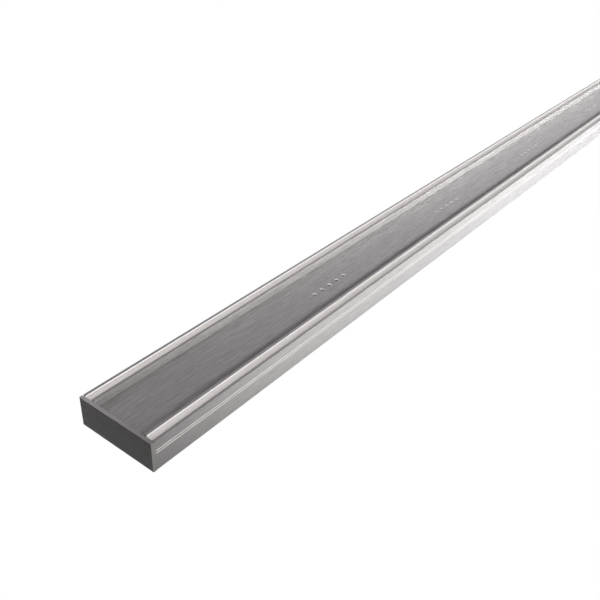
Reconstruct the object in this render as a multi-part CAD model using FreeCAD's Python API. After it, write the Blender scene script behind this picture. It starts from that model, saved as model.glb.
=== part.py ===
"""Tile-insert channel drain: an extruded U channel with a lift-out tray that takes a cut tile.

X runs along the drain, Y across it and Z up.  The origin is on the underside, at the middle of
the length and the width.  "near" is the -X end and "far" the +X end; "left" is the +Y side and
"right" the -Y side.  All sizes are in millimetres.

Channel and tray are thin-walled sections whose walls thicken into a rim.  The two rims leave an
open slot along each side, and water falls through it, or through the weep holes in the tray
floor, into the channel and runs to the outlet.  Plastic supports stand in the channel in pairs
and carry the tray by its edges.  A keel under each edge drops into them and holds it central.
"""

import FreeCAD, Part
import math
import os

V = FreeCAD.Vector

# ---------------------------------------------------------------- whole drain
LENGTH = 1500.0             # over both end plates
WIDTH = 100.0               # over the channel's walls
HEIGHT = 35.0               # underside to rim

# ---------------------------------------------------------------- rims, the same on channel and tray
RIM_WIDTH = 3.4
RIM_HEIGHT = 2.2
RIM_RADIUS = 0.2            # top edges

# ---------------------------------------------------------------- channel extrusion
CHANNEL_WALL = 1.8
CHANNEL_FLOOR = 2.0
FLOOR_FILLET = 1.5          # inside, where floor meets wall
CORNER_RADIUS = 0.5         # outside bottom corners
RIB_RADIUS = 0.6            # half-round keying ribs on the outer faces
RIB_HEIGHT = 20.7           # underside to the lower rib
RIB_SPACING = 3.1
RIBS = 2

# ---------------------------------------------------------------- end plates
END_PLATE = 5.0             # thickness
REBATE_DEPTH = 1.6          # shadow gap along the inner top edge
REBATE_WIDTH = 1.3
PLATE_EDGE = 0.4            # radius round the outer face
TONGUE_LENGTH = 4.0         # locating tongue inside the channel
TONGUE_HEIGHT = 14.0
TONGUE_CLEARANCE = 0.3

# ---------------------------------------------------------------- tile tray
SLOT = 8.2                  # between the channel's rim and the tray's rim
TRAY_WALL = 1.8
TRAY_FLOOR = 1.8
TRAY_DEPTH = 11.0           # rim to tray floor
TRAY_FILLET = 0.25          # inside, where tray floor meets wall
TRAY_END_GAP = 0.5          # to each end plate, so that the tray lifts out
KEEL_WIDTH = 1.6            # keels under the tray floor
KEEL_HEIGHT = 2.0

# ---------------------------------------------------------------- weep holes in the tray floor
WEEP_DIAMETER = 5.3
WEEP_COUNT = 5              # holes in one group
WEEP_SPACING = 15.0         # hole to hole in a group
WEEP_GROUP_PITCH = 300.0
WEEP_FIRST_GROUP = 340.0    # near end of the drain to the middle of the first group
WEEP_END_MARGIN = 60.0      # least distance from a group to the end of the drain

# ---------------------------------------------------------------- tray supports
SUPPORT_PITCH = 250.0       # most between stations
SUPPORT_FROM_MIDDLE = 125.0  # first station each side of the outlet
SUPPORT_FROM_END = 125.0    # last station to the end of the drain
SUPPORT_LENGTH = 20.0       # along the drain
SUPPORT_BEARING = 10.4      # across, under the tray's edge
SUPPORT_LEG = 2.8           # walls each side of the arch, and over it
SUPPORT_FOOT = 4.0          # height of the foot that reaches to the channel's wall
SUPPORT_WALL_CLEARANCE = 0.1
SUPPORT_GUSSET = 3.0        # radius between foot and post
ARCH_RADIUS = 1.5           # upper corners of the water passage
KEEL_SIDE_CLEARANCE = 0.2   # keel in the support's notch
KEEL_END_CLEARANCE = 0.4

# ---------------------------------------------------------------- outlet
OUTLET_BORE = 50.0
OUTLET_TAIL_WALL = 4.0      # ring wall through the channel floor
OUTLET_FLANGE_REACH = 6.0   # flange beyond the tail
OUTLET_FLANGE = 2.0         # flange thickness
OUTLET_FLANGE_BEVEL = 1.2
OUTLET_CLEARANCE = 0.1      # ring tail in the channel floor

# ---------------------------------------------------------------- worked out from the above
HALF_LENGTH = LENGTH / 2
HALF_WIDTH = WIDTH / 2
BODY_LENGTH = LENGTH - 2 * END_PLATE
CHANNEL_INSIDE = HALF_WIDTH - CHANNEL_WALL
RIM_UNDERSIDE = HEIGHT - RIM_HEIGHT
TRAY_RIM_OUTSIDE = HALF_WIDTH - RIM_WIDTH - SLOT
TRAY_INSIDE = TRAY_RIM_OUTSIDE - RIM_WIDTH
TRAY_OUTSIDE = TRAY_INSIDE + TRAY_WALL
TRAY_FLOOR_TOP = HEIGHT - TRAY_DEPTH
TRAY_UNDERSIDE = TRAY_FLOOR_TOP - TRAY_FLOOR
KEEL_MIDDLE = TRAY_OUTSIDE - SUPPORT_BEARING / 2
OUTLET_RADIUS = OUTLET_BORE / 2
OUTLET_TAIL_RADIUS = OUTLET_RADIUS + OUTLET_TAIL_WALL
OUTLET_FLANGE_RADIUS = OUTLET_TAIL_RADIUS + OUTLET_FLANGE_REACH


def profile(points):
    """A flat face across the drain, at X = 0, from (y, z) corners."""
    corners = [V(0, y, z) for y, z in points]
    return Part.Face(Part.makePolygon(corners + corners[:1]))


def symmetric_profile(left_half):
    """The same face mirrored about the middle, from the corners of its left half."""
    return profile(left_half + [(-y, z) for y, z in reversed(left_half)])


def extrude(face, start, length):
    """Pushes a cross-section along X, from start."""
    solid = face.extrude(V(length, 0, 0))
    solid.translate(V(start, 0, 0))
    return solid


def long_edges(solid, places):
    """The edges that run along X through the given (y, z) places."""
    found = []
    for edge in solid.Edges:
        box = edge.BoundBox
        if box.YLength > 1e-6 or box.ZLength > 1e-6:
            continue
        if any(abs(box.YMin - y) < 1e-6 and abs(box.ZMin - z) < 1e-6 for y, z in places):
            found.append(edge)
    return found


def both_sides(y, z):
    """The same place on the left and on the right."""
    return [(y, z), (-y, z)]


def channel_body():
    """The channel extrusion with its keying ribs, and the hole for the outlet ring."""
    rim_inside = HALF_WIDTH - RIM_WIDTH
    section = symmetric_profile([
        (HALF_WIDTH, 0), (HALF_WIDTH, HEIGHT), (rim_inside, HEIGHT), (rim_inside, RIM_UNDERSIDE),
        (CHANNEL_INSIDE, RIM_UNDERSIDE), (CHANNEL_INSIDE, CHANNEL_FLOOR),
    ])
    ribs = []
    for side in (-1, 1):
        for row in range(RIBS):
            centre = V(0, side * HALF_WIDTH, RIB_HEIGHT + row * RIB_SPACING)
            ribs.append(Part.Face(Part.Wire(Part.makeCircle(RIB_RADIUS, centre, V(1, 0, 0)))))
    section = section.fuse(ribs).removeSplitter().Faces[0]
    body = extrude(section, -BODY_LENGTH / 2, BODY_LENGTH)
    body = body.makeFillet(FLOOR_FILLET, long_edges(body, both_sides(CHANNEL_INSIDE, CHANNEL_FLOOR)))
    body = body.makeFillet(CORNER_RADIUS, long_edges(body, both_sides(HALF_WIDTH, 0)))
    rim = both_sides(HALF_WIDTH, HEIGHT) + both_sides(rim_inside, HEIGHT)
    body = body.makeFillet(RIM_RADIUS, long_edges(body, rim))
    return body.cut(Part.makeCylinder(OUTLET_TAIL_RADIUS + OUTLET_CLEARANCE, CHANNEL_FLOOR))


def end_plate(end):
    """A plate bonded to one end (-1 near, +1 far), with a shadow gap and a locating tongue."""
    plate = Part.makeBox(END_PLATE, WIDTH, HEIGHT, V(-HALF_LENGTH, -HALF_WIDTH, 0))
    outer = [e for e in plate.Edges if abs(e.BoundBox.XMax + HALF_LENGTH) < 1e-6]
    plate = plate.makeFillet(PLATE_EDGE, outer)
    inner_face = -HALF_LENGTH + END_PLATE
    rebate = Part.makeBox(
        REBATE_WIDTH, WIDTH, REBATE_DEPTH, V(inner_face - REBATE_WIDTH, -HALF_WIDTH, HEIGHT - REBATE_DEPTH)
    )
    side = CHANNEL_INSIDE - TONGUE_CLEARANCE
    bottom = CHANNEL_FLOOR + TONGUE_CLEARANCE
    tongue = Part.makeBox(TONGUE_LENGTH, 2 * side, TONGUE_HEIGHT, V(inner_face, -side, bottom))
    tongue = tongue.makeFillet(FLOOR_FILLET, long_edges(tongue, both_sides(side, bottom)))
    plate = plate.cut(rebate).fuse(tongue)
    if end > 0:
        plate = plate.mirror(V(0, 0, 0), V(1, 0, 0))
    return plate


def weep_groups():
    """X of the middle of each group of weep holes."""
    half_group = (WEEP_COUNT - 1) * WEEP_SPACING / 2
    last = HALF_LENGTH - WEEP_END_MARGIN - half_group
    x = -HALF_LENGTH + WEEP_FIRST_GROUP
    groups = []
    while x <= last:
        groups.append(x)
        x += WEEP_GROUP_PITCH
    return groups


def tile_tray():
    """The tray extrusion, with groups of weep holes down the middle of its floor."""
    keel_inside = KEEL_MIDDLE - KEEL_WIDTH / 2
    keel_outside = KEEL_MIDDLE + KEEL_WIDTH / 2
    keel_bottom = TRAY_UNDERSIDE - KEEL_HEIGHT
    section = symmetric_profile([
        (keel_inside, TRAY_UNDERSIDE), (keel_inside, keel_bottom), (keel_outside, keel_bottom),
        (keel_outside, TRAY_UNDERSIDE), (TRAY_OUTSIDE, TRAY_UNDERSIDE), (TRAY_OUTSIDE, RIM_UNDERSIDE),
        (TRAY_RIM_OUTSIDE, RIM_UNDERSIDE), (TRAY_RIM_OUTSIDE, HEIGHT), (TRAY_INSIDE, HEIGHT),
        (TRAY_INSIDE, TRAY_FLOOR_TOP),
    ])
    length = BODY_LENGTH - 2 * TRAY_END_GAP
    tray = extrude(section, -length / 2, length)
    tray = tray.makeFillet(TRAY_FILLET, long_edges(tray, both_sides(TRAY_INSIDE, TRAY_FLOOR_TOP)))
    tray = tray.makeFillet(CORNER_RADIUS, long_edges(tray, both_sides(TRAY_OUTSIDE, TRAY_UNDERSIDE)))
    rim = both_sides(TRAY_RIM_OUTSIDE, HEIGHT) + both_sides(TRAY_INSIDE, HEIGHT)
    tray = tray.makeFillet(RIM_RADIUS, long_edges(tray, rim))
    holes = []
    for middle in weep_groups():
        for i in range(WEEP_COUNT):
            x = middle + (i - (WEEP_COUNT - 1) / 2) * WEEP_SPACING
            holes.append(Part.makeCylinder(WEEP_DIAMETER / 2, TRAY_FLOOR, V(x, 0, TRAY_UNDERSIDE)))
    return tray.cut(holes)


def support_stations():
    """X of each pair of tray supports, evenly spaced in each half of the drain."""
    last = HALF_LENGTH - SUPPORT_FROM_END
    spaces = math.ceil((last - SUPPORT_FROM_MIDDLE) / SUPPORT_PITCH)
    pitch = (last - SUPPORT_FROM_MIDDLE) / spaces
    far_half = [SUPPORT_FROM_MIDDLE + i * pitch for i in range(spaces + 1)]
    return [-x for x in reversed(far_half)] + far_half


def tray_support(side, x):
    """A moulded chair (-1 right, +1 left): a notched post under the tray's edge, and a low foot."""
    wall_face = CHANNEL_INSIDE - SUPPORT_WALL_CLEARANCE
    toe = TRAY_OUTSIDE - SUPPORT_BEARING
    foot_top = CHANNEL_FLOOR + SUPPORT_FOOT
    notch_half = KEEL_WIDTH / 2 + KEEL_SIDE_CLEARANCE
    notch_bottom = TRAY_UNDERSIDE - KEEL_HEIGHT - KEEL_END_CLEARANCE
    outline = [
        (toe, CHANNEL_FLOOR), (wall_face - FLOOR_FILLET, CHANNEL_FLOOR),
        (wall_face, CHANNEL_FLOOR + FLOOR_FILLET), (wall_face, foot_top), (TRAY_OUTSIDE, foot_top),
        (TRAY_OUTSIDE, TRAY_UNDERSIDE), (KEEL_MIDDLE + notch_half, TRAY_UNDERSIDE),
        (KEEL_MIDDLE + notch_half, notch_bottom), (KEEL_MIDDLE - notch_half, notch_bottom),
        (KEEL_MIDDLE - notch_half, TRAY_UNDERSIDE), (toe, TRAY_UNDERSIDE),
    ]
    start = x - SUPPORT_LENGTH / 2
    chair = extrude(profile([(side * y, z) for y, z in outline]), start, SUPPORT_LENGTH)
    chair = chair.makeFillet(SUPPORT_GUSSET, long_edges(chair, [(side * TRAY_OUTSIDE, foot_top)]))
    inside = toe + SUPPORT_LEG
    outside = TRAY_OUTSIDE - SUPPORT_LEG
    top = notch_bottom - SUPPORT_LEG
    opening = [(inside, CHANNEL_FLOOR), (outside, CHANNEL_FLOOR), (outside, top), (inside, top)]
    arch = extrude(profile([(side * y, z) for y, z in opening]), start, SUPPORT_LENGTH)
    arch = arch.makeFillet(ARCH_RADIUS, long_edges(arch, [(side * inside, top), (side * outside, top)]))
    return chair.cut(arch)


def outlet_ring():
    """The flanged ring that lines the outlet hole: its flange lies on the channel floor."""
    flange_top = CHANNEL_FLOOR + OUTLET_FLANGE
    outline = [
        (OUTLET_RADIUS, 0), (OUTLET_TAIL_RADIUS, 0), (OUTLET_TAIL_RADIUS, CHANNEL_FLOOR),
        (OUTLET_FLANGE_RADIUS, CHANNEL_FLOOR), (OUTLET_FLANGE_RADIUS, flange_top - OUTLET_FLANGE_BEVEL),
        (OUTLET_FLANGE_RADIUS - OUTLET_FLANGE_BEVEL, flange_top), (OUTLET_RADIUS, flange_top),
    ]
    corners = [V(r, 0, z) for r, z in outline]
    face = Part.Face(Part.makePolygon(corners + corners[:1]))
    return face.revolve(V(0, 0, 0), V(0, 0, 1), 360)


def all_pieces():
    """Every piece of the drain, by the name of its node."""
    pieces = {
        "channel_body": channel_body(),
        "end_plate_near": end_plate(-1),
        "end_plate_far": end_plate(1),
        "tile_tray": tile_tray(),
        "outlet_ring": outlet_ring(),
    }
    for number, x in enumerate(support_stations(), start=1):
        pieces[f"tray_support_left_{number}"] = tray_support(1, x)
        pieces[f"tray_support_right_{number}"] = tray_support(-1, x)
    return pieces


os.makedirs("parts", exist_ok=True)
for name, shape in all_pieces().items():
    solid = shape.Solids[0]
    solid.exportStep(f"parts/{name}.step")
    print(f"{name}: {solid.Volume / 1000:.1f} cm3, valid {solid.isValid()}, solids {len(shape.Solids)}")
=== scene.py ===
"""Finishes, studio and camera for a tile-insert channel drain.

Every form is a CAD node of the frame.  This script gives each node its finish: brushed metal on
the faces that show, the paler mill finish that the sections keep inside, moulded plastic on the
supports, and satin metal on the outlet ring.  X runs along the drain, Y across it and Z up, in
metres.
"""

from __future__ import annotations

import logging
import math
from dataclasses import dataclass, field
from enum import Enum

import bpy
from mathutils import Matrix, Vector

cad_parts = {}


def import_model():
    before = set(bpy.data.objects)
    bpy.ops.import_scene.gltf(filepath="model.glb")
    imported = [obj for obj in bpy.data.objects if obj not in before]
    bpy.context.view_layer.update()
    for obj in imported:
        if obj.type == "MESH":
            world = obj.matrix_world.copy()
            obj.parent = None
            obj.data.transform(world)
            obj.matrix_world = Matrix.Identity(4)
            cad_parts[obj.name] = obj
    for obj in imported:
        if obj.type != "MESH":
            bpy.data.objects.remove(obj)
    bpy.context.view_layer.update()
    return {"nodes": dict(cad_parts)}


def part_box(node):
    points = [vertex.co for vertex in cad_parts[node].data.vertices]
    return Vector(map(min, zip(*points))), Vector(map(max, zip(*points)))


LOG = logging.getLogger("channel_drain")

Colour = tuple[float, float, float]
Point = tuple[float, float, float]

WHITE: Colour = (1.0, 1.0, 1.0)


class Grain(Enum):
    """Which way the brush ran over a surface."""

    ALONG = (1.0, 0.0, 0.0)
    ACROSS = (0.0, 1.0, 0.0)


def paler(colour: Colour, factor: float) -> Colour:
    """Makes a colour paler.

    Args:
        colour: The colour.
        factor: How many times lighter it becomes, up to white.

    Returns:
        The paler colour.
    """
    return tuple(min(1.0, part * factor) for part in colour)


# ---------------------------------------------------------------- node building


@dataclass
class Nodes:
    """Places nodes in one tree and joins them, so that a material reads as a list of steps.

    Attributes:
        tree: The node tree that is being built.
    """

    # The Mix node's first input, second input and output, by the kind of value that it mixes.
    MIX_NUMBERS = (2, 3, 0)
    MIX_COLOURS = (6, 7, 2)

    tree: bpy.types.NodeTree

    def add(self, kind: str, **settings: object) -> bpy.types.Node:
        """Adds a node and sets its properties.

        Args:
            kind: The node's type, such as ShaderNodeMath.
            settings: Properties of the node by name.

        Returns:
            The new node.
        """
        node = self.tree.nodes.new(kind)
        for name, value in settings.items():
            setattr(node, name, value)
        return node

    def put(self, socket: bpy.types.NodeSocket, value: object) -> None:
        """Links a socket to another, or sets its own value.

        Args:
            socket: The input socket.
            value: An output socket, a number, a vector or a colour.
        """
        if isinstance(value, bpy.types.NodeSocket):
            self.tree.links.new(value, socket)
        elif hasattr(value, "__len__") and len(value) == 3 and socket.type == "RGBA":
            socket.default_value = (*value, 1.0)
        else:
            socket.default_value = value

    def math(self, operation: str, *values: object) -> bpy.types.NodeSocket:
        """Adds a Math node.

        Args:
            operation: The Math node's operation.
            values: Its inputs, as sockets or numbers.

        Returns:
            The result's socket.
        """
        node = self.add("ShaderNodeMath", operation=operation)
        for socket, value in zip(node.inputs, values):
            self.put(socket, value)
        return node.outputs[0]

    def remap(
        self, value: object, low: float, high: float, to_low: float, to_high: float
    ) -> bpy.types.NodeSocket:
        """Stretches a value from one range to another, eased and clamped at both ends.

        Args:
            value: The value to stretch.
            low: Where the first range starts.
            high: Where it ends.
            to_low: Where the second range starts.
            to_high: Where it ends.

        Returns:
            The stretched value.
        """
        node = self.add("ShaderNodeMapRange", interpolation_type="SMOOTHSTEP")
        for socket, item in zip(node.inputs, (value, low, high, to_low, to_high)):
            self.put(socket, item)
        return node.outputs[0]

    def mix(self, factor: object, first: object, second: object) -> bpy.types.NodeSocket:
        """Mixes two colours.

        Args:
            factor: 0 gives the first colour and 1 the second.
            first: The first colour.
            second: The second colour.

        Returns:
            The mixed colour.
        """
        return self._mix("RGBA", self.MIX_COLOURS, factor, first, second)

    def blend(self, factor: object, first: object, second: object) -> bpy.types.NodeSocket:
        """Mixes two numbers.

        Args:
            factor: 0 gives the first number and 1 the second.
            first: The first number.
            second: The second number.

        Returns:
            The mixed number.
        """
        return self._mix("FLOAT", self.MIX_NUMBERS, factor, first, second)

    def _mix(
        self,
        kind: str,
        sockets: tuple[int, int, int],
        factor: object,
        first: object,
        second: object,
    ) -> bpy.types.NodeSocket:
        """Adds a Mix node.

        Args:
            kind: The kind of value that it mixes.
            sockets: The places of its first input, its second input and its output.
            factor: 0 gives the first value and 1 the second.
            first: The first value.
            second: The second value.

        Returns:
            The mixed value.
        """
        node = self.add("ShaderNodeMix", data_type=kind)
        self.put(node.inputs["Factor"], factor)
        self.put(node.inputs[sockets[0]], first)
        self.put(node.inputs[sockets[1]], second)
        return node.outputs[sockets[2]]

    def split(self, place: bpy.types.NodeSocket) -> bpy.types.NodeOutputs:
        """Splits a place into its X, Y and Z.

        Args:
            place: The place.

        Returns:
            The three sockets, by the names X, Y and Z.
        """
        node = self.add("ShaderNodeSeparateXYZ")
        self.put(node.inputs[0], place)
        return node.outputs

    def group(self, tree: bpy.types.NodeTree, inputs: dict[str, object]) -> bpy.types.NodeOutputs:
        """Places a node group and fills in its inputs.

        Args:
            tree: The group's own tree.
            inputs: A socket or a value for each input, by name.

        Returns:
            The group's outputs, by name.
        """
        node = self.add("ShaderNodeGroup", node_tree=tree)
        for label, value in inputs.items():
            self.put(node.inputs[label], value)
        return node.outputs


def new_group(
    name: str, inputs: dict[str, tuple[str, object]], outputs: dict[str, str]
) -> tuple[Nodes, bpy.types.NodeOutputs, bpy.types.NodeInputs]:
    """Starts a shader node group with named inputs and outputs.

    Args:
        name: The group's name.
        inputs: For each input, its socket type and its value, or None for no value.
        outputs: For each output, its socket type.

    Returns:
        The group's builder, what the group is given and what it puts out.
    """
    tree = bpy.data.node_groups.new(name, "ShaderNodeTree")
    for label, (kind, value) in inputs.items():
        socket = tree.interface.new_socket(name=label, in_out="INPUT", socket_type=kind)
        if value is not None:
            socket.default_value = value
    for label, kind in outputs.items():
        tree.interface.new_socket(name=label, in_out="OUTPUT", socket_type=kind)
    build = Nodes(tree)
    return build, build.add("NodeGroupInput").outputs, build.add("NodeGroupOutput").inputs


class Effects:
    """The shader node groups that the finishes are made of, each built once."""

    FLOAT = "NodeSocketFloat"
    VECTOR = "NodeSocketVector"

    # Scale, detail and roughness of the noise that each effect is drawn with.
    BANDS = (1.0, 2.0, 0.6)
    HAIRLINES = (4.2, 3.0, 0.6)
    MOTTLE_DETAIL = 4.0
    MOTTLE_ROUGHNESS = 0.5

    # The part of a noise's range that becomes a tone from 0 to 1.
    NOISE_RANGE = (0.3, 0.7)

    def __init__(self) -> None:
        """Builds the groups."""
        self.brush = self._brush()
        self.mottle = self._mottle()
        self.inside = self._inside()
        self.corner = self._corner()

    def _noise(
        self,
        build: Nodes,
        place: bpy.types.NodeSocket,
        scale: object,
        detail: float,
        roughness: float,
    ) -> bpy.types.NodeSocket:
        """Builds one noise and stretches it to a full tone.

        Args:
            build: The group's builder.
            place: Where the noise is read.
            scale: Its scale.
            detail: Its detail.
            roughness: Its roughness.

        Returns:
            A tone from 0 to 1.
        """
        noise = build.add("ShaderNodeTexNoise", noise_dimensions="3D")
        build.put(noise.inputs["Vector"], place)
        build.put(noise.inputs["Scale"], scale)
        build.put(noise.inputs["Detail"], detail)
        build.put(noise.inputs["Roughness"], roughness)
        return build.remap(noise.outputs["Fac"], *self.NOISE_RANGE, 0.0, 1.0)

    def _brush(self) -> bpy.types.NodeTree:
        """Builds the brush marks: fine hairlines over longer, softer bands.

        Returns:
            A group that takes a place and the stretch of the marks, and gives a tone from 0 to 1
            and a height.
        """
        build, given, result = new_group(
            "brush_marks",
            {
                "Place": (self.VECTOR, None),
                "Stretch": (self.VECTOR, (1.0, 1.0, 1.0)),
                "Hairlines": (self.FLOAT, 0.5),
            },
            {"Tone": self.FLOAT, "Height": self.FLOAT},
        )
        stretched = build.add("ShaderNodeVectorMath", operation="MULTIPLY")
        build.put(stretched.inputs[0], given["Place"])
        build.put(stretched.inputs[1], given["Stretch"])
        bands = self._noise(build, stretched.outputs[0], *self.BANDS)
        hairlines = self._noise(build, stretched.outputs[0], *self.HAIRLINES)
        build.put(result["Tone"], build.blend(given["Hairlines"], bands, hairlines))
        build.put(result["Height"], hairlines)
        return build.tree

    def _mottle(self) -> bpy.types.NodeTree:
        """Builds the fine unevenness of a moulded surface.

        Returns:
            A group that takes a place and a scale, and gives a tone from 0 to 1.
        """
        build, given, result = new_group(
            "mottle",
            {"Place": (self.VECTOR, None), "Scale": (self.FLOAT, 100.0)},
            {"Tone": self.FLOAT},
        )
        tone = self._noise(
            build, given["Place"], given["Scale"], self.MOTTLE_DETAIL, self.MOTTLE_ROUGHNESS
        )
        build.put(result["Tone"], tone)
        return build.tree

    def _inside(self) -> bpy.types.NodeTree:
        """Builds the mask of a span of the section.

        Returns:
            A group that takes a place, the span across the drain and the span in height, and
            gives 1 where the place lies within both spans.
        """
        build, given, result = new_group(
            "inside_span",
            {
                "Place": (self.VECTOR, None),
                "From Middle": (self.FLOAT, 0.0),
                "To Middle": (self.FLOAT, 1.0),
                "Bottom": (self.FLOAT, 0.0),
                "Top": (self.FLOAT, 1.0),
            },
            {"Mask": self.FLOAT},
        )
        place = build.split(given["Place"])
        aside = build.math("ABSOLUTE", place["Y"])
        mask = build.math("GREATER_THAN", aside, given["From Middle"])
        for test in (
            build.math("LESS_THAN", aside, given["To Middle"]),
            build.math("GREATER_THAN", place["Z"], given["Bottom"]),
            build.math("LESS_THAN", place["Z"], given["Top"]),
        ):
            mask = build.math("MULTIPLY", mask, test)
        build.put(result["Mask"], mask)
        return build.tree

    def _corner(self) -> bpy.types.NodeTree:
        """Builds the mask of painted shade in an inside corner that runs along the drain.

        Returns:
            A group that takes a place, the corner's distance from the middle, its height and its
            reach, and gives 1 in the corner and 0 beyond its reach.
        """
        build, given, result = new_group(
            "painted_corner_shade",
            {
                "Place": (self.VECTOR, None),
                "From Middle": (self.FLOAT, 0.0),
                "Height": (self.FLOAT, 0.0),
                "Reach": (self.FLOAT, 0.001),
            },
            {"Mask": self.FLOAT},
        )
        place = build.split(given["Place"])
        aside = build.math("SUBTRACT", build.math("ABSOLUTE", place["Y"]), given["From Middle"])
        above = build.math("SUBTRACT", place["Z"], given["Height"])
        squares = [build.math("POWER", distance, 2.0) for distance in (aside, above)]
        away = build.math("SQRT", build.math("ADD", *squares))
        away = build.math("DIVIDE", away, given["Reach"])
        build.put(result["Mask"], build.remap(away, 0.0, 1.0, 1.0, 0.0))
        return build.tree


@dataclass
class Surface:
    """A material that is being built, which reads each piece's own coordinates.

    Attributes:
        material: The material.
        build: Its node builder.
        shader: Its Principled shader.
        output: Its output node.
        place: The place on the piece.
    """

    # The height in metres that a bump of 1 stands for.
    BUMP_HEIGHT = 0.0002

    material: bpy.types.Material
    build: Nodes
    shader: bpy.types.Node
    output: bpy.types.Node
    place: bpy.types.NodeSocket

    @classmethod
    def start(cls, name: str) -> Surface:
        """Starts a material with one Principled shader.

        Args:
            name: The material's name.

        Returns:
            The surface.
        """
        material = bpy.data.materials.new(name)
        material.use_nodes = True
        material.node_tree.nodes.clear()
        build = Nodes(material.node_tree)
        shader = build.add("ShaderNodeBsdfPrincipled")
        output = build.add("ShaderNodeOutputMaterial")
        build.put(output.inputs["Surface"], shader.outputs[0])
        place = build.add("ShaderNodeTexCoord").outputs["Object"]
        return cls(material, build, shader, output, place)

    def add_bump(self, height: bpy.types.NodeSocket, strength: float) -> None:
        """Adds a bump to the shader.

        Args:
            height: The height of the surface, from 0 to 1.
            strength: How strongly the bump tells.
        """
        bump = self.build.add("ShaderNodeBump")
        self.build.put(bump.inputs["Strength"], strength)
        self.build.put(bump.inputs["Distance"], self.BUMP_HEIGHT)
        self.build.put(bump.inputs["Height"], height)
        self.build.put(self.shader.inputs["Normal"], bump.outputs[0])


# ---------------------------------------------------------------- finishes


@dataclass(frozen=True)
class Span:
    """A stretch of the section, the same on the left and on the right, with its own finish.

    A limit that isn't given lies beyond the part.

    Attributes:
        inner: Least distance from the middle of the drain.
        outer: Most distance from the middle.
        bottom: Lowest height.
        top: Highest height.
        share: How much of the finish is laid on there.
    """

    inner: float = -1.0
    outer: float = 1.0
    bottom: float = -1.0
    top: float = 1.0
    share: float = 1.0


@dataclass(frozen=True)
class ShadedCorner:
    """Painted shade in an inside corner along the drain, on the left and on the right.

    Attributes:
        aside: Distance from the middle of the drain.
        height: Height of the corner.
        reach: How far the painted shade reaches.
        depth: How much of the metal's tone it takes.
    """

    aside: float
    height: float
    reach: float = 0.0018
    depth: float = 0.3


@dataclass(frozen=True)
class MillFinish:
    """The pale, faintly drawn face that an extruded section has where no brush reached it.

    Attributes:
        colour: Its colour.
        paler: How many times lighter it is between its draw marks.
        hairlines: Share of the draw marks that is fine.
        length: How many times longer they are than brush marks.
        roughness: Its roughness.
        metal: How much of it reflects as bare metal.
        painted_highlight: Colour of its painted highlight.
        depth_shade: Colour of the painted shade low inside the section.
    """

    colour: Colour = (0.83, 0.80, 0.778)
    paler: float = 1.06
    hairlines: float = 0.3
    length: float = 4.0
    roughness: float = 0.6
    metal: float = 0.0
    painted_highlight: Colour = (0.98, 0.975, 0.97)
    depth_shade: Colour = (0.06, 0.055, 0.05)


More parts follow.
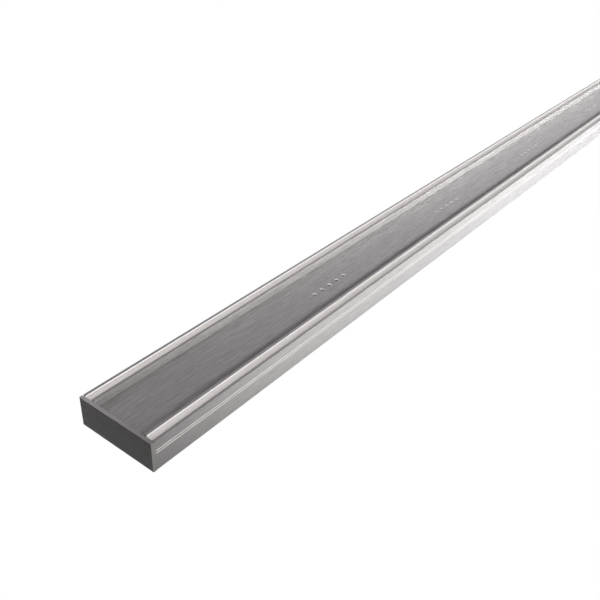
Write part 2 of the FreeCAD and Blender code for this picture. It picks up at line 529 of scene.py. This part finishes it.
@dataclass(frozen=True)
class BrushedMetal:
    """Brushed aluminium, with its paler mill finish where the brush can't reach.

    Attributes:
        name: The material's name.
        grain: Which way the brush ran.
        turned: The span where the brush ran along instead, if there is one.
        turned_tone: How many times the light colour is the colour of that span.
        dark: Colour in the brush marks.
        light: Colour between them.
        roughness: Least and most roughness.
        spread: How much further light spreads across the brush marks than along them.
        hairlines: Share of the brush marks that is fine.
        bump: Depth of the brush marks.
        fine: Brush marks across, per metre.
        long: Brush marks along, per metre.
        corners: The inside corners that get painted shade.
        painted_shade: Colour of that painted shade.
        mill: The mill finish.
        unbrushed: The spans that keep the mill finish.
        shade_fade: Heights between which the mill finish goes from painted shade to its own
            colour, if it is shaded.
        painted_highlight: Height above which the mill finish is painted paler as a highlight, if
            it is.
    """

    # A quarter turn, so that light spreads across the tangent and not along it.
    SPREAD_TURN = 0.25

    name: str
    grain: Grain = Grain.ALONG
    turned: Span | None = None
    turned_tone: float = 1.0
    dark: Colour = (0.50, 0.50, 0.50)
    light: Colour = (0.60, 0.60, 0.60)
    roughness: tuple[float, float] = (0.48, 0.60)
    spread: float = 0.85
    hairlines: float = 0.5
    bump: float = 0.05
    fine: float = 640.0
    long: float = 32.0
    corners: tuple[ShadedCorner, ...] = ()
    painted_shade: Colour = (0.05, 0.045, 0.04)
    mill: MillFinish = MillFinish()
    unbrushed: tuple[Span, ...] = ()
    shade_fade: tuple[float, float] | None = None
    painted_highlight: float | None = None

    def make(self, effects: Effects) -> bpy.types.Material:
        """Builds the material.

        Args:
            effects: The shared node groups.

        Returns:
            The material.
        """
        surface = Surface.start(self.name)
        build, shader = surface.build, surface.shader
        marks = build.group(effects.brush, {
            "Place": surface.place, "Stretch": self._stretch(), "Hairlines": self.hairlines,
        })
        colour = build.mix(marks["Tone"], self.dark, self.light)
        rough = build.remap(marks["Tone"], 0.0, 1.0, self.roughness[1], self.roughness[0])
        turn: object = 0.0
        if self.turned:
            turn = self._span(surface, effects, self.turned)
            colour = build.mix(turn, colour, paler(self.light, self.turned_tone))
        # Painted shade: the colour darkens towards each inside corner.
        for corner in self.corners:
            painted_shade = build.group(effects.corner, {
                "Place": surface.place, "From Middle": corner.aside,
                "Height": corner.height, "Reach": corner.reach,
            })
            share = build.math("MULTIPLY", painted_shade["Mask"], corner.depth)
            colour = build.mix(share, colour, self.painted_shade)
        if self.unbrushed:
            mask = self._unbrushed(surface, effects)
            colour = build.mix(mask, colour, self._mill_colour(surface, effects))
            rough = build.blend(mask, rough, self.mill.roughness)
            build.put(shader.inputs["Metallic"], build.blend(mask, 1.0, self.mill.metal))
        else:
            shader.inputs["Metallic"].default_value = 1.0
        build.put(shader.inputs["Base Color"], colour)
        build.put(shader.inputs["Roughness"], rough)
        shader.inputs["Anisotropic"].default_value = self.spread
        shader.inputs["Anisotropic Rotation"].default_value = self.SPREAD_TURN
        build.put(shader.inputs["Tangent"], self._way(build, turn))
        surface.add_bump(marks["Height"], self.bump)
        return surface.material

    def _stretch(self) -> Point:
        """Works out how densely the brush marks lie along X, Y and Z.

        Returns:
            Brush marks per metre along each axis.
        """
        if self.grain is Grain.ALONG:
            return self.long, self.fine, self.fine
        return self.fine, self.long, self.fine

    def _way(self, build: Nodes, turn: object) -> bpy.types.NodeSocket:
        """Builds the way that the brush ran.

        Args:
            build: The material's builder.
            turn: 1 where the brush ran along instead of across, and 0 elsewhere.

        Returns:
            The brush's way, as a tangent.
        """
        way = build.add("ShaderNodeCombineXYZ")
        if self.turned:
            build.put(way.inputs[0], turn)
            build.put(way.inputs[1], build.math("SUBTRACT", 1.0, turn))
        else:
            for socket, value in zip(way.inputs, self.grain.value):
                socket.default_value = value
        return way.outputs[0]

    def _mill_colour(self, surface: Surface, effects: Effects) -> bpy.types.NodeSocket:
        """Builds the mill finish: faint draw marks, a painted highlight high up and painted shade
        low down.

        Args:
            surface: The material that is being built.
            effects: The shared node groups.

        Returns:
            Its colour.
        """
        build, mill = surface.build, self.mill
        draw = build.group(effects.brush, {
            "Place": surface.place,
            "Stretch": (self.long / mill.length, self.fine, self.fine),
            "Hairlines": mill.hairlines,
        })
        colour = build.mix(draw["Tone"], mill.colour, paler(mill.colour, mill.paler))
        height = build.split(surface.place)["Z"]
        # Painted highlight: the mill finish turns paler above a height, on the rims' slot faces.
        if self.painted_highlight is not None:
            bare = build.math("GREATER_THAN", height, self.painted_highlight)
            colour = build.mix(bare, colour, mill.painted_highlight)
        # Painted shade: the mill finish darkens towards the bottom, nearly to black.
        if self.shade_fade is not None:
            shade_fade = build.remap(height, *self.shade_fade, 0.0, 1.0)
            colour = build.mix(shade_fade, mill.depth_shade, colour)
        return colour

    def _unbrushed(self, surface: Surface, effects: Effects) -> bpy.types.NodeSocket:
        """Joins the unbrushed spans into one mask.

        Args:
            surface: The material that is being built.
            effects: The shared node groups.

        Returns:
            1 on the mill finish and 0 on brushed metal.
        """
        joined: object = 0.0
        for span in self.unbrushed:
            joined = surface.build.math("MAXIMUM", joined, self._span(surface, effects, span))
        return joined

    def _span(self, surface: Surface, effects: Effects, span: Span) -> bpy.types.NodeSocket:
        """Builds the mask of one span.

        Args:
            surface: The material that is being built.
            effects: The shared node groups.
            span: The span.

        Returns:
            The span's share within it and 0 outside it.
        """
        mask = surface.build.group(effects.inside, {
            "Place": surface.place, "From Middle": span.inner, "To Middle": span.outer,
            "Bottom": span.bottom, "Top": span.top,
        })["Mask"]
        return surface.build.math("MULTIPLY", mask, span.share) if span.share < 1.0 else mask


@dataclass(frozen=True)
class MouldedPlastic:
    """Injection-moulded plastic with a fine matt texture.

    Attributes:
        name: The material's name.
        colour: Its colour.
        paler: How many times lighter the tips of the texture are.
        roughness: Least and most roughness.
        texture: Texture grains per metre.
        bump: Depth of the texture.
    """

    name: str
    colour: Colour = (0.045, 0.046, 0.05)
    paler: float = 1.35
    roughness: tuple[float, float] = (0.49, 0.63)
    texture: float = 2600.0
    bump: float = 0.12

    def make(self, effects: Effects) -> bpy.types.Material:
        """Builds the material.

        Args:
            effects: The shared node groups.

        Returns:
            The material.
        """
        surface = Surface.start(self.name)
        build, shader = surface.build, surface.shader
        mottle = build.group(effects.mottle, {"Place": surface.place, "Scale": self.texture})
        tone = mottle["Tone"]
        colour = build.mix(tone, self.colour, paler(self.colour, self.paler))
        build.put(shader.inputs["Base Color"], colour)
        rough = build.remap(tone, 0.0, 1.0, self.roughness[1], self.roughness[0])
        build.put(shader.inputs["Roughness"], rough)
        surface.add_bump(tone, self.bump)
        return surface.material


# ---------------------------------------------------------------- sub-assemblies

# How near a face has to lie to the place that picks it.
NEAR = 0.0001


@dataclass
class SubAssembly:
    """A group of CAD nodes that share a finish.

    Attributes:
        nodes: The frame's node objects by name.
        effects: The shared node groups.
        dressed: The names of the nodes that have their finish.
    """

    nodes: dict[str, bpy.types.Object]
    effects: Effects
    dressed: list[str] = field(default_factory=list)

    def dress(self, name: str, material: bpy.types.Material) -> None:
        """Gives one node its material.

        Args:
            name: The node's name.
            material: Its finish.
        """
        mesh = self.nodes[name].data
        mesh.materials.clear()
        mesh.materials.append(material)
        self.dressed.append(name)

    def build(self) -> None:
        """Dresses the sub-assembly's nodes."""
        raise NotImplementedError


@dataclass
class Section(SubAssembly):
    """An extruded U section whose walls end in thicker rims.

    Attributes:
        rim: Height of the rims.
        rim_width: Width of the rims.
        wall: Thickness of the walls.
        highlight_from: How far above a rim's lower edge its slot face gets the painted highlight.
    """

    rim: float = 0.0022
    rim_width: float = 0.0034
    wall: float = 0.0018
    highlight_from: float = 0.0003


@dataclass
class Channel(Section):
    """The channel section, brushed outside and on its rims, with the mill finish inside.

    Attributes:
        underside: Height up to which its floor counts as the brushed underside.
        crest_highlight: How much of the mill finish the ribs' crests show, as a painted
            highlight.
        depth_shade: Heights between which its inside goes from painted shade to its own colour.
    """

    underside: float = 0.0005
    crest_highlight: float = 0.45
    # Painted shade inside the channel, darker towards its floor.
    depth_shade: tuple[float, float] = (0.010, 0.024)

    def build(self) -> None:
        """Dresses the channel."""
        low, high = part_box("end_plate_near")
        half_width = (high.y - low.y) / 2
        rim_foot = high.z - self.rim
        slot_face = half_width - self.rim_width
        wall_middle = half_width - self.wall / 2
        inside = Span(outer=wall_middle, bottom=self.underside, top=rim_foot + NEAR / 2)
        slot_faces = Span(slot_face - NEAR, slot_face + NEAR, 0.0, high.z)
        # Painted highlight: the ribs' crests take part of the pale mill finish, so that they read
        # as bright lines.
        rib_highlights = Span(inner=half_width + NEAR, bottom=0.0, top=high.z, share=self.crest_highlight)
        metal = BrushedMetal(
            "channel_metal",
            dark=(0.465, 0.458, 0.456),
            light=(0.645, 0.636, 0.634),
            unbrushed=(inside, slot_faces, rib_highlights),
            shade_fade=self.depth_shade,
            painted_highlight=rim_foot + self.highlight_from,
        )
        self.dress("channel_body", metal.make(self.effects))


@dataclass
class Tray(Section):
    """The tile tray, brushed where it shows, with the mill finish on its outer walls.

    Attributes:
        depth: Depth of the recess.
        shade_reach: How far the faint painted shade reaches out of the recess's corners.
        shade_depth: How much of the metal's tone it takes.
    """

    depth: float = 0.011
    shade_reach: float = 0.015
    shade_depth: float = 0.15

    def build(self) -> None:
        """Dresses the tray."""
        _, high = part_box("tile_tray")
        rim_foot = high.z - self.rim
        bed = high.z - self.depth
        inner_face = high.y - self.rim_width
        outer_walls = Span(inner=inner_face + self.wall / 2, top=rim_foot + NEAR / 2)
        slot_faces = Span(inner=high.y - NEAR, bottom=0.0, top=high.z)
        underside = Span(top=bed - NEAR)
        metal = BrushedMetal(
            "tray_metal",
            dark=(0.425, 0.414, 0.412),
            light=(0.755, 0.736, 0.734),
            unbrushed=(outer_walls, slot_faces, underside),
            # Painted shade: a thin dark line in the recess's inside corners, and a faint wide
            # band beside them.
            corners=(
                ShadedCorner(inner_face, bed),
                ShadedCorner(inner_face, bed, reach=self.shade_reach, depth=self.shade_depth),
            ),
            painted_highlight=rim_foot + self.highlight_from,
        )
        self.dress("tile_tray", metal.make(self.effects))


@dataclass
class EndPlates(SubAssembly):
    """The two end plates, brushed across the drain, and along it on their side edges."""

    def build(self) -> None:
        """Dresses both plates."""
        _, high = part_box("end_plate_near")
        metal = BrushedMetal(
            "plate_metal",
            grain=Grain.ACROSS,
            turned=Span(inner=high.y - NEAR),
            turned_tone=1.06,
            dark=(0.350, 0.350, 0.336),
            light=(0.530, 0.529, 0.510),
        )
        material = metal.make(self.effects)
        for end in ("near", "far"):
            self.dress(f"end_plate_{end}", material)


@dataclass
class TraySupports(SubAssembly):
    """The moulded chairs that carry the tray."""

    def build(self) -> None:
        """Dresses every chair that the frame holds."""
        material = MouldedPlastic("support_plastic").make(self.effects)
        for name in sorted(self.nodes):
            if name.startswith("tray_support_"):
                self.dress(name, material)


@dataclass
class Outlet(SubAssembly):
    """The ring that lines the outlet hole."""

    def build(self) -> None:
        """Dresses the ring."""
        metal = BrushedMetal(
            "ring_metal",
            grain=Grain.ACROSS,
            dark=(0.52, 0.51, 0.50),
            light=(0.58, 0.57, 0.56),
            long=60.0,
        )
        self.dress("outlet_ring", metal.make(self.effects))


# ---------------------------------------------------------------- studio

# Tints of the light.
WARM: Colour = (1.0, 0.985, 0.94)
COOL: Colour = (1.0, 0.955, 1.0)
FAINT_BLUE: Colour = (0.99, 0.98, 1.0)


@dataclass(frozen=True)
class SoftBox:
    """A square studio lamp on a dome round the drain.

    Attributes:
        name: The lamp's name.
        azimuth: Where it stands, from +X towards +Y, in degrees.
        elevation: How far above the horizon it stands, in degrees.
        power: Its power in watts.
        colour: The colour of its light.
        size: Length of its sides.
        distance: How far it stands from what it lights.
        aim: The point that it lights.
    """

    name: str
    azimuth: float
    elevation: float
    power: float
    colour: Colour = WHITE
    size: float = 0.4
    distance: float = 3.0
    aim: Point = (-0.2, 0.0, 0.02)

    def build(self) -> bpy.types.Object:
        """Builds the lamp.

        Returns:
            The lamp's object.
        """
        light = bpy.data.lights.new(self.name, "AREA")
        light.shape = "SQUARE"
        light.size = self.size
        light.energy = self.power
        light.color = self.colour
        turn, rise = math.radians(self.azimuth), math.radians(self.elevation)
        level = math.cos(rise)
        away = Vector((math.cos(turn) * level, math.sin(turn) * level, math.sin(rise)))
        lamp = bpy.data.objects.new(self.name, light)
        lamp.location = Vector(self.aim) + away * self.distance
        lamp.rotation_euler = (-away).to_track_quat("-Z", "Y").to_euler()
        lamp.visible_camera = False
        bpy.context.scene.collection.objects.link(lamp)
        return lamp


@dataclass(frozen=True)
class Studio:
    """A white floor, a soft sky and a dome of soft boxes.

    Attributes:
        floor_size: Length of the floor's sides.
        floor_drop: How far the floor lies below the drain.
        floor_colour: Colour of the floor under the lamps.
        floor_roughness: Its roughness.
        floor_tone: Tone of the floor in the metal, at its dark end and at its light end.
        floor_reach: X of the dark end and of the light end.
        floor_shadow_tone: How much of that tone is left beside the drain, as a painted shadow of
            the drain.
        floor_shade: Distances from the middle between which the painted shadow fades.
        sky: Brightness of the sky on the drain.
        sky_colour: Its tint there.
        lamps: The lamps.
    """

    floor_size: float = 14.0
    floor_drop: float = 0.0002
    floor_colour: Colour = (0.8, 0.8, 0.8)
    floor_roughness: float = 0.9
    floor_tone: tuple[float, float] = (0.0, 1.0)
    floor_reach: tuple[float, float] = (-0.9, -0.3)
    floor_shadow_tone: float = 0.45
    floor_shade: tuple[float, float] = (0.05, 0.13)
    sky: float = 0.22
    sky_colour: Colour = COOL
    lamps: tuple[SoftBox, ...] = (
        SoftBox("main", -140.0, 45.0, 320.0, size=1.8, distance=6.0),
        SoftBox("behind", 105.0, 35.0, 26.0, COOL, size=0.9),
        SoftBox("low_near", -60.0, 5.0, 8.2, WARM, size=0.8),
        SoftBox("low_middle", -45.0, 5.0, 3.4, WARM, size=0.8),
        SoftBox("low_far", -30.0, 5.0, 8.0, FAINT_BLUE, size=0.6),
        SoftBox("strip_near", -60.0, 31.0, 5.2),
        SoftBox("strip_middle", -45.0, 26.0, 8.0),
        SoftBox("strip_far", -30.0, 19.0, 12.5),
        SoftBox("strip_end", -15.0, 10.0, 9.3),
    )

    def build(self) -> None:
        """Builds the floor, the sky and the lamps."""
        self._floor()
        self._sky()
        for lamp in self.lamps:
            lamp.build()

    def _floor(self) -> None:
        """Builds the floor: white to the camera, graded in the metal with a painted shadow beside
        the drain, pale under the lamps.
        """
        bpy.ops.object.select_all(action="DESELECT")
        below = (0.0, 0.0, -self.floor_drop)
        bpy.ops.mesh.primitive_plane_add(size=self.floor_size, location=below)
        floor = bpy.context.active_object
        floor.name = "studio_floor"
        bpy.ops.object.transform_apply(location=True, rotation=False, scale=False)
        surface = Surface.start("studio_floor")
        build, shader = surface.build, surface.shader
        build.put(shader.inputs["Base Color"], self.floor_colour)
        shader.inputs["Roughness"].default_value = self.floor_roughness
        rays = build.add("ShaderNodeLightPath").outputs
        shown = build.add("ShaderNodeEmission")
        strength = build.blend(rays["Is Camera Ray"], self._graded(surface), 1.0)
        build.put(shown.inputs["Strength"], strength)
        seen = build.math("MAXIMUM", rays["Is Glossy Ray"], rays["Is Transmission Ray"])
        seen = build.math("MAXIMUM", rays["Is Camera Ray"], seen)
        mixed = build.add("ShaderNodeMixShader")
        for socket, value in zip(mixed.inputs, (seen, shader.outputs[0], shown.outputs[0])):
            build.put(socket, value)
        build.put(surface.output.inputs["Surface"], mixed.outputs[0])
        floor.data.materials.append(surface.material)

    def _graded(self, surface: Surface) -> bpy.types.NodeSocket:
        """Builds the tone that the floor has in the metal.

        Args:
            surface: The floor's material.

        Returns:
            A tone that rises along the drain and falls beside it in a painted shadow.
        """
        build = surface.build
        place = build.split(surface.place)
        along = build.remap(place["X"], *self.floor_reach, *self.floor_tone)
        # Painted shadow: the floor glows less beside the drain.
        aside = build.math("ABSOLUTE", place["Y"])
        shade = build.remap(aside, *self.floor_shade, self.floor_shadow_tone, 1.0)
        return build.math("MULTIPLY", along, shade)

    def _sky(self) -> None:
        """Builds the sky: white to the camera, and low and even to the rest."""
        world = bpy.data.worlds.new("studio_sky")
        world.use_nodes = True
        bpy.context.scene.world = world
        world.node_tree.nodes.clear()
        build = Nodes(world.node_tree)
        seen = build.add("ShaderNodeLightPath").outputs["Is Camera Ray"]
        background = build.add("ShaderNodeBackground")
        build.put(background.inputs["Color"], build.mix(seen, self.sky_colour, WHITE))
        build.put(background.inputs["Strength"], build.blend(seen, self.sky, 1.0))
        output = build.add("ShaderNodeOutputWorld")
        build.put(output.inputs["Surface"], background.outputs[0])


@dataclass(frozen=True)
class Camera:
    """The camera, placed from the middle of the drain's underside.

    Attributes:
        place: Where it stands.
        azimuth: The way that it looks, from +X towards +Y, in degrees.
        down: How far below the horizon it looks, in degrees.
        roll: How far its right side is raised, in degrees.
        lens: Focal length in millimetres.
        sensor: Width of the sensor in millimetres.
        clip: The nearest and the farthest that it sees.
    """

    place: Point = (-1.06999, -0.44516, 0.51656)
    azimuth: float = 36.552
    down: float = 33.047
    roll: float = 2.643
    lens: float = 45.4
    sensor: float = 36.0
    clip: tuple[float, float] = (0.01, 50.0)

    def build(self) -> bpy.types.Object:
        """Builds the camera and makes it the scene's own.

        Returns:
            The camera's object.
        """
        data = bpy.data.cameras.new("camera")
        data.lens = self.lens
        data.sensor_width = self.sensor
        data.clip_start, data.clip_end = self.clip
        camera = bpy.data.objects.new("camera", data)
        turn = Matrix.Rotation(math.radians(self.azimuth - 90.0), 4, "Z")
        tilt = Matrix.Rotation(math.radians(90.0 - self.down), 4, "X")
        roll = Matrix.Rotation(math.radians(self.roll), 4, "Z")
        camera.matrix_world = Matrix.Translation(self.place) @ turn @ tilt @ roll
        bpy.context.scene.collection.objects.link(camera)
        bpy.context.scene.camera = camera
        return camera


# ---------------------------------------------------------------- whole scene


def main() -> None:
    """Loads the frame, dresses every node and sets up the studio and the camera."""
    logging.basicConfig(level=logging.INFO, format="%(name)s: %(message)s")
    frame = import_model()
    bpy.context.scene.view_settings.view_transform = "Standard"
    Camera().build()
    effects = Effects()
    for kind in (Channel, Tray, EndPlates, TraySupports, Outlet):
        assembly = kind(frame["nodes"], effects)
        assembly.build()
        LOG.info("%s: %s", kind.__name__, ", ".join(assembly.dressed))
    Studio().build()


if __name__ == "__main__":
    main()
